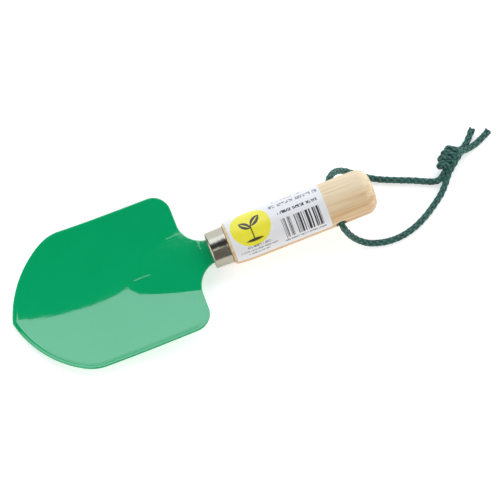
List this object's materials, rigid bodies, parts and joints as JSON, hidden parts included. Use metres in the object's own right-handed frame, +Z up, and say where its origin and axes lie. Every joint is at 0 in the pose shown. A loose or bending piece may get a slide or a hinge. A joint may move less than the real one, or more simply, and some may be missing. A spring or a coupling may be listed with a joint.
{
  "type": "hand trowel",
  "caption": "Small hand trowel: a dished, round-nosed steel blade with its tang driven into a turned wooden handle through a plated ferrule, with a paper label and a knotted hanging cord.",
  "frame": {"origin": "on the bench, under the middle of the trowel's bounding box without its cord", "axes": "+X from the nose of the blade to the butt, as seen from above; +Z up; +Y to the side. The tool lies on the belly of its blade and the shoulder of its grip, nose-down by 7.28 degrees"},
  "size_m": [0.3308, 0.094, 0.0392],
  "materials": {
    "painted_steel": "high gloss green enamel",
    "plated_steel": "bright nickel plate",
    "handle_wood": "clear-lacquered pale hardwood",
    "label_film": "satin-coated white paper",
    "braided_cord": "matt dark green braid"
  },
  "bodies": {
    "root": {"blade": "painted_steel", "ferrule": "plated_steel", "handle": "handle_wood", "label": "label_film", "cord_loop": "braided_cord", "cord_short_tail": "braided_cord", "cord_long_tail": "braided_cord", "cord_knot": "braided_cord"}
  },
  "joints": []
}
